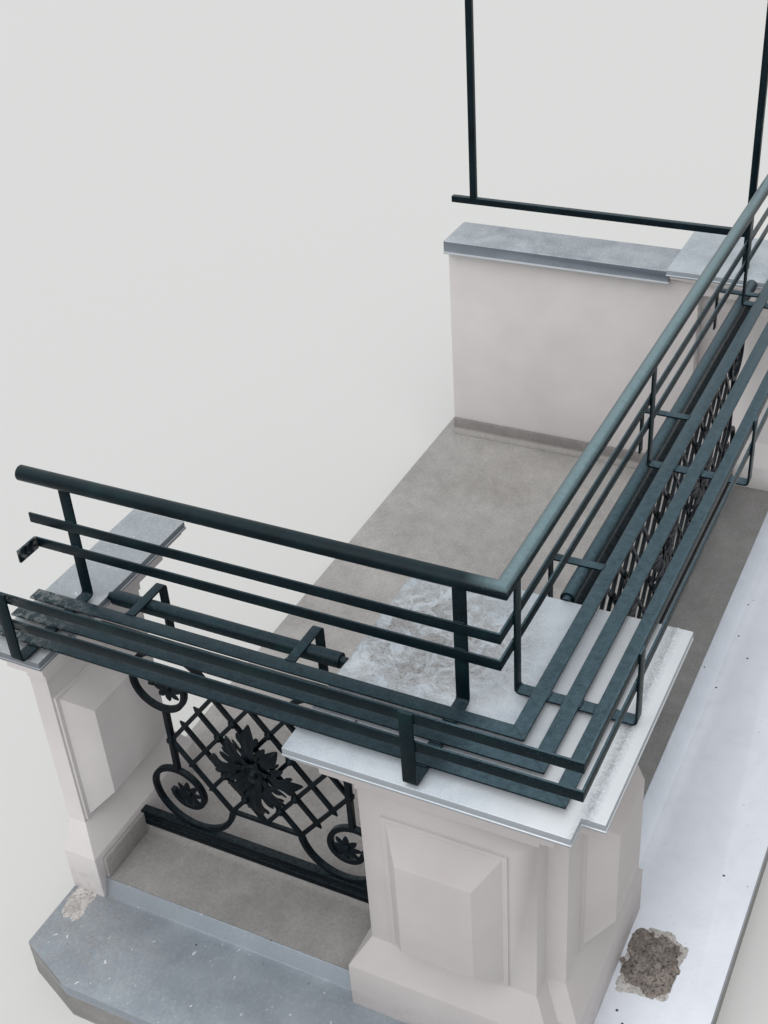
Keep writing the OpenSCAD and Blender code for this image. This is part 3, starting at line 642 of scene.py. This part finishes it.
def raised(profile, sides):
    """A disc raised step by step to a turned or cast form; the profile lists radius and height."""
    deselect()
    first, low = profile[0]
    bpy.ops.mesh.primitive_circle_add(vertices=sides, radius=first, fill_type="NGON", location=(0, 0, low))
    piece = bpy.context.object
    apply_place()
    editing(True)
    choose_all()
    for (before, below), (radius, height) in zip(profile, profile[1:]):
        draw_out((0, 0, height - below))
        scale((radius / before, radius / before, 1), (0, 0, height))
    outward()
    editing(False)
    bpy.ops.object.shade_smooth()
    return piece


# How a lobe grows: steps along its way and its width at each, and its turn towards that way
LOBE_STEPS = ((0.36, 1.25), (0.30, 0.95), (0.22, 0.6), (0.12, 0.15))
LOBE_TURN = math.radians(40)
# A lobe leaves the leaf beyond this share of its half width
LOBE_EDGE = 0.8
# How far the midrib stands up and the hollows beside it sink, in thicknesses, and where the hollows lie
RIB_RISE, HOLLOW_SINK, HOLLOW = 0.25, 0.75, (0.3, 0.7)
# An acanthus leaf as shares of its reach, half widths and heights, and the lobes along it
LEAF_START = 0.024
LEAF_RINGS = ((0.0, 0.014, 0.004), (0.12, 0.020, 0.014), (0.24, 0.0235, 0.022), (0.36, 0.0215, 0.027),
              (0.48, 0.0190, 0.029), (0.60, 0.0225, 0.028), (0.72, 0.0240, 0.025), (0.83, 0.0185, 0.020),
              (0.93, 0.0090, 0.013), (1.0, 0.0012, 0.008))
LEAF_LOBES = ((2, 0.30, 0.031, -0.003), (5, 0.13, 0.012, -0.006))
# The flower's leaves: their reach and the spread of their lobes, and the ways they point, in degrees
TALL_LEAF, WIDE_LEAF, SLANTING_LEAF = (0.182, 1.0), (0.158, 0.95), (0.138, 0.6)
TALL_WAYS, WIDE_WAYS, SLANTING_WAYS = (90, 270), (0, 180), (52, 128, 232, 308)
# The small leaves between them
BUD_RINGS = ((0.018, 0.007, 0.010), (0.030, 0.010, 0.021), (0.043, 0.012, 0.029), (0.055, 0.008, 0.031),
             (0.064, 0.0015, 0.028))
# The boss and the stud of a flower and the button of a star, as radius and height
BOSS = ((0.026, -0.002), (0.033, 0.010), (0.038, 0.019), (0.0385, 0.025), (0.034, 0.029), (0.029, 0.027),
        (0.025, 0.020), (0.019, 0.018), (0.0150, 0.020), (0.0135, 0.027), (0.0105, 0.033), (0.0055, 0.0355),
        (0.001, 0.036))
STUD = ((0.0135, -0.002), (0.0150, 0.003), (0.0100, 0.0062), (0.0060, 0.0066), (0.0050, 0.0098),
        (0.0010, 0.0112))
BUTTON = ((0.0115, -0.002), (0.0120, 0.005), (0.0095, 0.0085), (0.0070, 0.0080), (0.0055, 0.0105),
          (0.0010, 0.0115))
# The pinched rims of boss and stud: from what radius, a spoke's degrees, at every how many spokes, and how
BOSS_RIM, STUD_RIM = (0.028, 15, 4, (0.88, 0.88, 0.92)), (0.0128, 30, 2, (0.7, 0.7, 1))
# A star's petal as rings
PETAL_RINGS = ((0.004, 0.004, 0.0), (0.014, 0.0075, 0.003), (0.026, 0.0118, 0.005), (0.038, 0.0095, 0.004),
               (0.048, 0.0008, 0.001))
LEAF_THICK, PETAL_THICK = 0.005, 0.004


def draw_lobe(near_ring, far_ring, lobe, side):
    """In edit mode, draws a pointed lobe from a leaf's edge between two rings, by its way forward, outward
    and up."""
    (x, half, z), (next_x, next_half, next_z) = near_ring, far_ring
    forward, outwards, up = lobe
    edge = LOBE_EDGE * min(half, next_half)
    choose(lambda co: min(abs(co.x - x), abs(co.x - next_x)) < HAIR and co.y * side > edge)
    middle = Vector(((x + next_x) / 2, side * (half + next_half) / 2, (z + next_z) / 2))
    for step, (share, grow) in enumerate(LOBE_STEPS):
        way = Vector((forward, side * outwards, up)) * share
        middle += way
        draw_out(way)
        scale((grow,) * 3, middle)
        if step == 0:
            bpy.ops.transform.rotate(value=side * LOBE_TURN, orient_axis="Z", center_override=middle)


def leaf(rings, lobes, thick, levels):
    """A leaf along +X, face to +Z: a strip drawn out ring by ring, pointed lobes drawn from its edges, and a
    midrib. A ring is reach, half width and height; a lobe is its first ring and its way."""
    (start, first, base), (x, half, z) = rings[:2]
    deselect()
    middle = ((start + x) / 2, 0, base)
    bpy.ops.mesh.primitive_grid_add(x_subdivisions=1, y_subdivisions=4, size=1, location=middle)
    piece = bpy.context.object
    bpy.ops.transform.resize(value=(x - start, 2 * first, 1))
    apply_place()
    editing(True)
    choose(lambda co: co.x > x - HAIR)
    scale((1, half / first, 1), (x, 0, base))
    shift(0, 0, z - base)
    for (x, half, z), (next_x, next_half, next_z) in zip(rings[1:], rings[2:]):
        choose(lambda co: co.x > x - HAIR)
        draw_out((next_x - x, 0, next_z - z))
        scale((1, next_half / half, 1), (next_x, 0, next_z))
    for ring, *lobe in lobes:
        for side in (-1, 1):
            draw_lobe(rings[ring], rings[ring + 1], lobe, side)
    choose(lambda co: abs(co.y) < HAIR)
    shift(0, 0, thick * RIB_RISE)
    for x, half, _ in rings[1:-1]:
        choose(lambda co: abs(co.x - x) < HAIR and HOLLOW[0] * half < abs(co.y) < HOLLOW[1] * half)
        shift(0, 0, -thick * HOLLOW_SINK)
    outward()
    editing(False)
    put_on(piece, "SOLIDIFY", thickness=thick, offset=0)
    put_on(piece, "SUBSURF", levels=levels, render_levels=levels)
    bpy.ops.object.shade_smooth()
    return piece


def acanthus_leaf(reach, spread):
    """A lobed leaf of the flower, with its lobes spread by a share."""
    span = reach - LEAF_START
    rings = [(LEAF_START + share * span, half, height) for share, half, height in LEAF_RINGS]
    lobes = [(ring, forward * span, outwards * spread, up) for ring, forward, outwards, up in LEAF_LOBES]
    return leaf(rings, lobes, LEAF_THICK, 2)


def pinched(piece, inside, step, every, shape):
    """A turned piece with its rim pinched at every so many spokes, a step of degrees apart."""
    take(piece)
    editing(True)
    spoke = math.radians(step)
    choose(lambda co: co.xy.length > inside and round(math.atan2(co.y, co.x) / spoke) % every == 0)
    scale(shape, (0, 0, 0))
    editing(False)
    return piece


def cut_flower():
    """A cast acanthus flower with its face to +Z: eight lobed leaves, eight small ones and a cupped boss, and
    the serrated studs that cap the crossings round it."""
    tall, wide, slanting = (acanthus_leaf(*sizes) for sizes in (TALL_LEAF, WIDE_LEAF, SLANTING_LEAF))
    bud = leaf(BUD_RINGS, (), PETAL_THICK, 1)
    parts = []
    for pattern, ways in ((tall, TALL_WAYS), (wide, WIDE_WAYS), (slanting, SLANTING_WAYS)):
        parts += [turned(pattern, degrees) for degrees in ways]
    parts += [turned(bud, 22.5 + 45 * k) for k in range(8)]
    parts.append(pinched(raised(BOSS, 24), *BOSS_RIM))
    stud = pinched(raised(STUD, 12), *STUD_RIM)
    for right, up in STUD_CELLS:
        for side in (-1, 1):
            for height in (-1, 1):
                other = copied(stud, "stud")
                other.location = (side * right * CELL_X / 1000, height * up * CELL_Z / 1000, 0)
                parts.append(other)
    for spare in (tall, wide, slanting, bud, stud):
        bpy.data.objects.remove(spare)
    return joined(parts, "flower")


def cut_star():
    """A small cast star of eight pointed petals that fills a scroll's eye."""
    petal = leaf(PETAL_RINGS, (), PETAL_THICK, 1)
    parts = [turned(petal, 45 * k) for k in range(8)]
    parts.append(raised(BUTTON, 16))
    bpy.data.objects.remove(petal)
    return joined(parts, "star")


def on_side(y, z, out):
    """The matrix that stands a drawing on the side panel, its x to the corner, its face outwards."""
    return Matrix.Translation(at(PANEL_IN - out, y, z)) @ Matrix(((0, 0, -1), (-1, 0, 0), (0, 1, 0))).to_4x4()


def on_front(x, z, out):
    """The matrix that stands a drawing on the front panel, its face outwards."""
    return Matrix.Translation(at(x, PANEL_IN - out, z)) @ Matrix(((1, 0, 0), (0, 0, -1), (0, 1, 0))).to_4x4()


def eyes(stand, centre, cells):
    """The places of a panel's four scroll eyes."""
    reach = cells / 2 * CELL_X - EYE_IN
    return [stand(centre + end * reach, LATTICE_Z + z, EYE_FACE) for end in (-1, 1) for z in (-EYE_Z, EYE_Z)]


def set_at(pattern, places, name, material, slot, *nodes):
    """Copies of a modelled shape at their places, joined to one piece that stands for the nodes."""
    made = []
    for place in places:
        other = copied(pattern, name)
        other.matrix_world = place
        made.append(other)
    hang(joined(made, name), material, slot, *nodes)


# A weld bead: its radius, where it starts, its steps along X, and how it swells and shrinks at each
BEAD_RADIUS, BEAD_START, BEAD_STEP = 0.0024, -0.0148, 0.0042
BEAD_RIPPLES = (1.3, 0.82, 1.25, 0.84, 1.2, 0.80, 0.9)


def weld():
    """A short run of weld along X, about 30 mm long and 5 to 6 mm thick, with its ripples."""
    deselect()
    bpy.ops.mesh.primitive_circle_add(vertices=6, radius=BEAD_RADIUS, fill_type="NGON",
                                      rotation=(0, math.radians(90), 0), location=(BEAD_START, 0, 0))
    piece = bpy.context.object
    apply_place()
    editing(True)
    choose_all()
    for step, grow in enumerate(BEAD_RIPPLES, start=1):
        draw_out((BEAD_STEP, 0, 0))
        scale((1, grow, grow), (BEAD_START + step * BEAD_STEP, 0, 0))
    outward()
    editing(False)
    bpy.ops.object.shade_smooth()
    return piece


def weld_places():
    """Where bars meet: rails, tray bars, handrail and hooked straps on their uprights and arms."""
    along_y = Matrix.Rotation(math.radians(90), 4, "Z")
    # Runs of weld that cross every upright, as their place across the rail and their height
    runs = [(-BESIDE, z) for z in (*RAIL_EDGES, HANDRAIL_FOOT)] + [(BESIDE, HANDRAIL_FOOT)]
    for start in BAR_STARTS:
        runs += [(-edge, ARM_TOP) for edge in (start - PAST_EDGE, start + BAR_WIDE + PAST_EDGE)]
    runs += [(-OUTER_FACE, z) for z in OUTER_EDGES]
    places = []
    for offset, z in runs:
        places += [Matrix.Translation(at(offset, y, z)) @ along_y for y in SIDE_POSTS]
        # The rails of the front lie on the inner side of their uprights
        y = -offset if z in RAIL_EDGES else offset
        places += [Matrix.Translation(at(x, y, z)) for x in FRONT_POSTS]
    strap_end = -BAR_STARTS[0]
    places += [Matrix.Translation(at(strap_end, y, BAR_TOP)) @ along_y for y in SIDE_STRAPS]
    places += [Matrix.Translation(at(x, strap_end, BAR_TOP)) for x in FRONT_STRAPS]
    slanting = Matrix.Rotation(math.radians(45), 4, "Z") @ Matrix.Diagonal(MITRE_SHAPE)
    for start in BAR_STARTS:
        middle = -start - BAR_WIDE / 2
        places.append(Matrix.Translation(at(middle, middle, MITRE_TOP)) @ slanting)
    return places


# The hem: its thickness and depth, the two cuts over its bead, how far its face lies back, and its edge
HEM_THICK, HEM_DEEP, BEAD_CUTS, FACE_BACK, HEM_EDGE = 0.003, 0.040, (-0.012, -0.014), 0.0008, 0.0004


def hem(name, start, end, material):
    """A strip of the zinc hem along the slab's outer edge, with a bead at its foot."""
    way = end - start
    deselect()
    bpy.ops.mesh.primitive_cube_add(size=1, location=(0, 0, 0))
    piece = bpy.context.object
    bpy.ops.transform.resize(value=(way.length, HEM_THICK, HEM_DEEP))
    apply_place()
    editing(True)
    for height in BEAD_CUTS:
        cut_across(2, height)
    choose(lambda co: co.z > sum(BEAD_CUTS) / 2 and co.y < 0)
    shift(0, FACE_BACK, 0)
    editing(False)
    put_on(piece, "BEVEL", width=HEM_EDGE, segments=EDGE_STEPS, limit_method="ANGLE")
    piece.rotation_euler = (0, 0, math.atan2(way.y, way.x))
    piece.location = (start + end) / 2 + Vector((-way.y, way.x, 0)).normalized() * HEM_THICK / 2
    settle(piece, name)
    hang(piece, material, "zinc")


# A patch of mortar: its grid, how far out its outline lies, and the waves in the outline and their depth
PATCH_GRID, PATCH_REACH, PATCH_WAVES = 26, 0.84, ((2, 0.07), (5, 0.05), (9, 0.04))
# Its steps inwards, as shares of the outline and of the rise, and how far a step is shaken
PATCH_STEPS, PATCH_SHAKE = ((0.94, 0.45), (0.8, 0.3), (0.5, 0.25)), 0.3
# Its lumps: how far out and up they lie, their least and greatest radius, how rough they are, and their shape
LUMPS_REACH, LUMPS_UP, LUMP_SIZES, LUMP_ROUGH, LUMP_SHAPE = 0.42, 0.8, (0.003, 0.009), 0.35, (1.2, 0.9, 0.6)


def lump(radius, seed):
    """A broken lump of mortar."""
    deselect()
    bpy.ops.mesh.primitive_ico_sphere_add(subdivisions=2, radius=radius)
    piece = bpy.context.object
    editing(True)
    choose_all()
    bpy.ops.transform.vertex_random(offset=radius * LUMP_ROUGH, uniform=1.0, seed=seed)
    bpy.ops.transform.resize(value=LUMP_SHAPE)
    editing(False)
    return piece


def mortar_patch(name, low, high, rise, lumps, material):
    """Mortar left on sheet or floor: a low ragged cake with lumps in it, sunk a little at its edge."""
    size, middle = high - low, (low + high) / 2
    deselect()
    bpy.ops.mesh.primitive_grid_add(x_subdivisions=PATCH_GRID, y_subdivisions=PATCH_GRID, size=1,
                                    location=middle)
    cake = bpy.context.object
    bpy.ops.transform.resize(value=(size.x, size.y, 1))
    apply_place()
    editing(True)
    turns = [random.uniform(0.0, math.tau) for _ in PATCH_WAVES]

    def reach(co):
        """How far out a corner lies, 1 at the cake's own ragged outline, which is a rounded square."""
        x, y = 2 * (co.x - middle.x) / size.x, 2 * (co.y - middle.y) / size.y
        angle = math.atan2(y, x)
        waves = (depth * math.sin(count * angle + turn) for (count, depth), turn in zip(PATCH_WAVES, turns))
        return (x ** 4 + y ** 4) ** 0.25 / sum(waves, PATCH_REACH)

    choose(lambda co: reach(co) > 1)
    bpy.ops.mesh.delete(type="VERT")
    for edge, lift in PATCH_STEPS:
        choose(lambda co: reach(co) < edge)
        shift(0, 0, rise * lift)
        bpy.ops.transform.vertex_random(offset=rise * PATCH_SHAKE, uniform=1.0, seed=int(edge * 100))
    outward()
    editing(False)
    put_on(cake, "SUBSURF", levels=1, render_levels=1)
    parts = [cake]
    for k in range(lumps):
        piece = lump(random.uniform(*LUMP_SIZES), k)
        angle, far = random.uniform(0, math.tau), LUMPS_REACH * math.sqrt(random.random())
        spot = Vector((size.x * far * math.cos(angle), size.y * far * math.sin(angle), rise * LUMPS_UP))
        piece.location = middle + spot
        parts.append(piece)
    piece = joined(parts, name)
    bpy.ops.object.shade_smooth_by_angle(angle=math.radians(50))
    hang(piece, material, "concrete")


# The finishes

place_camera()
place_lights()

# Pale on what faces up: dust and a painted highlight, the sky's reflection; painted shade lowers it on the
# side run
DUST_AND_SHEEN = dict(dust_and_sheen_tone="#5e7681", least=0.4, most=0.75, shaded_side_share=0.38)
enamel = green_enamel("brushed_green_enamel", **DUST_AND_SHEEN, plaster=0.0)
smeared_enamel = green_enamel("plaster_smeared_green_enamel", **DUST_AND_SHEEN, plaster=0.45)
# The handrail: a strong painted highlight of the sky along its top, and painted shade on its side run
lit_enamel = green_enamel("green_enamel_painted_highlight", dust_and_sheen_tone="#7f979c", least=0.75, most=1.0,
                          shaded_side_share=0.08, plaster=0.0)
iron = old_iron_paint()
# Painted light in the zinc: a sky reflection band, sky glints, shaded upright faces, shaded crinkles at a
# crease
corner_zinc = zinc_sheet(
    "weathered_zinc_corner_cap", ("#b0bac3", "#c6cfd7", "#d8dfe5"), "#e3e7eb", (-0.44, -0.60), grain_mm=5.5,
    painted_glint=0.75, bloomed=0.6, upright_shade_tone="#8f959b", grime=0.85, sheltered_at=at(190, 300, 966), dabs=0.5,
    crease_y=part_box("corner_pier_cap")[0][1] + CREASE_IN)
cap_zinc = zinc_sheet(
    "weathered_zinc_wall_cap", ("#9aa2a9", "#adb4b9", "#bac0c5"), "#c0c6cc", (-0.55, -0.75), grain_mm=7,
    painted_glint=0.35, bloomed=0.4, upright_shade_tone="#6a7078", grime=0.5, sheltered_at=at(-290, 1150, 966), dabs=0.8)
far_zinc = zinc_sheet(
    "weathered_zinc_far_cap", ("#a9b3ba", "#bcc5cb", "#ced5d9"), "#d6dbdf", (-0.55, -0.75), grain_mm=7,
    painted_glint=0.5, bloomed=0.8, upright_shade_tone="#8a9198", dabs=0.5)
# The coping's bead carries a painted highlight
coping_zinc = zinc_sheet(
    "weathered_zinc_coping", ("#8d959c", "#a6adb3", "#bdc3c8"), "#c0c6cc", (-0.55, -0.75), grain_mm=9,
    painted_glint=0.4, bloomed=0.95, upright_shade_tone="#59606a", dabs=0.3, bead_z=at(0, 0, 902).z + COPING_DRIP[0])
ledge_zinc = zinc_sheet(
    "weathered_zinc_ledge", ("#889099", "#949ca4", "#a1a9b0"), "#eef2fa", (-0.50, -0.64), grain_mm=12,
    painted_glint=0.15, bloomed=0.3, upright_shade_tone="#8d949c", splashed=0.47, grime=0.4,
    sheltered_at=at(-300, 1230, -60), dabs=0.8)
# The corner pier's paint: the walls' paint made darker, a painted shade under its cap
shaded_corner_paint = pier_paint("masonry_paint_corner_pier_in_shade", ("#b1abaa", "#b6b1b0", "#bcb7b6"))
render_paint = pier_paint("masonry_paint_walls", ("#c9c4c3", "#cfcac9", "#d5d0cf"))
screed = cement("worn_cement_screed", ("#9c9995", "#aba8a5", "#b6b4b0"), "#7a7978", 9)
skirting_cement = cement("trowelled_cement_skirting", ("#8d8987", "#9a9795", "#a6a3a0"), "#9a9795", 6)
lapped_cement = cement("lapped_cement_skirting", ("#787472", "#827e7c", "#8d8a87"), "#827e7c", 6,
                       lapped_z=at(0, 0, 30).z)
mortar = crumbled_mortar("dark_crumbled_mortar", "#2f2a28", "#78706a", "#9a918a")
pale_mortar = crumbled_mortar("pale_crumbled_mortar", "#8b8683", "#b7b3af", "#d0ccc9")

# The nodes in their finishes. Rounded edges of bar, tube, old iron, caps, coping, ledge and render
BAR, TUBE, OLD, CAP, COPING, LEDGE, RENDER = 0.0011, 0.0008, 0.0012, 0.002, 0.003, 0.001, 0.003

for node in ("upper_rail", "lower_rail", "side_bracket_1", "side_bracket_2", "front_bracket_1",
             "front_bracket_2", "front_bracket_3", "front_bracket_4", "side_hook_straps", "front_hook_straps",
             "screen_frame"):
    softened(node, enamel, "green_iron", BAR)
for node in ("wall_tab", "tray_bar_inner", "tray_bar_middle", "tray_bar_outer", "outer_rail_upper",
             "outer_rail_lower"):
    softened(node, smeared_enamel, "green_iron", BAR)
softened("handrail", lit_enamel, "green_iron", TUBE, sharp=50)
for node in ("side_spacer_tube", "front_spacer_tube"):
    softened(node, enamel, "green_iron", TUBE, sharp=50)
for node in ("side_top_rail", "side_bottom_rail", "side_scrolls", "front_top_rail", "front_bottom_rail",
             "front_scrolls"):
    softened(node, iron, "old_iron", OLD, sharp=40)
softened("side_lattice", iron, "old_iron", OLD, sharp=40,
         dress=pointed(lambda x, z: at(PANEL_IN, SIDE_CENTRE - x, LATTICE_Z + z), SIDE_CELLS))
softened("front_lattice", iron, "old_iron", OLD, sharp=40,
         dress=pointed(lambda x, z: at(FRONT_CENTRE + x, PANEL_IN, LATTICE_Z + z), FRONT_CELLS))
softened("corner_pier_cap", corner_zinc, "zinc", CAP, dress=front_fold)
softened("wall_pier_cap", cap_zinc, "zinc", CAP, dress=drip_edge(*CAP_DRIP))
softened("far_pier_cap", far_zinc, "zinc", CAP, dress=drip_edge(*CAP_DRIP))
softened("divider_coping", coping_zinc, "zinc", COPING, dress=tucked_in)
softened("ledge_flashing", ledge_zinc, "zinc", LEDGE)
softened("corner_pier", shaded_corner_paint, "painted_plaster", RENDER, sharp=20)
for node in ("wall_pier", "far_pier", "divider_wall"):
    softened(node, render_paint, "painted_plaster", RENDER, sharp=20)
softened("wall_skirting", skirting_cement, "skirting", RENDER)
softened("divider_skirting", lapped_cement, "skirting", RENDER)
softened("balcony_slab", screed, "concrete", RENDER, dress=draw_in)

# The cast ornament of the old panels, and the welds of the new rail
flower = cut_flower()
set_at(flower, [on_side(SIDE_CENTRE, LATTICE_Z, PANEL_FACE)], "side_acanthus", iron, "old_iron",
       "side_flower")
set_at(flower, [on_front(FRONT_CENTRE + cells * CELL_X, LATTICE_Z, PANEL_FACE) for cells in FRONT_FLOWERS],
       "front_acanthus", iron, "old_iron", "front_flowers")
star = cut_star()
set_at(star, eyes(on_side, SIDE_CENTRE, SIDE_CELLS), "side_stars", iron, "old_iron", "side_rosettes")
set_at(star, eyes(on_front, FRONT_CENTRE, FRONT_CELLS), "front_stars", iron, "old_iron", "front_rosettes")
bead = weld()
set_at(bead, weld_places(), "weld_beads", enamel, "green_iron")
for pattern in (flower, star, bead):
    bpy.data.objects.remove(pattern)

# The zinc hem round the slab
edge = [at(x, y, HEM_Z) for x, y in LEDGE_CORNERS]
for name, start, end in zip(("ledge_hem_wall_end", "ledge_hem_side", "ledge_hem_front"), edge, edge[1:]):
    hem(name, start, end, ledge_zinc)
# What the masons left: low and high corner, the face below, rise in metres, and lumps; each sunk by half a mm
SUNK = 0.5
for name, low, high, face, rise, lumps, material in (
        ("plaster_rim_at_corner_pier", (80, -452), (362, -244), LEDGE_TOP, 0.002, 0, pale_mortar),
        ("mortar_at_corner_pier", (98, -446), (346, -252), LEDGE_TOP, 0.006, 60, mortar),
        ("plaster_at_wall_pier", (-340, 1262), (-180, 1356), LEDGE_TOP, 0.003, 0, pale_mortar),
        ("plaster_at_side_panel", (-20, 1226), (104, 1292), 0.0, 0.003, 8, pale_mortar)):
    mortar_patch(name, at(*low, face - SUNK), at(*high, face - SUNK), rise, lumps, material)

# The ground that it stands on
GROUND_SIZE = 80
deselect()
bpy.ops.mesh.primitive_plane_add(size=GROUND_SIZE, location=(0, 0, 0))
ground = bpy.context.object
ground.name = "floor"
plain = bpy.data.materials.new("plain_floor")
plain.use_nodes = True
shader = plain.node_tree.nodes["Principled BSDF"]
feed(plain.node_tree, shader, {"Base Color": paint("#dcdcd9"), "Roughness": 0.9})
ground.data.materials.append(plain)

bpy.context.scene.view_settings.view_transform = "Standard"
bpy.context.view_layer.update()
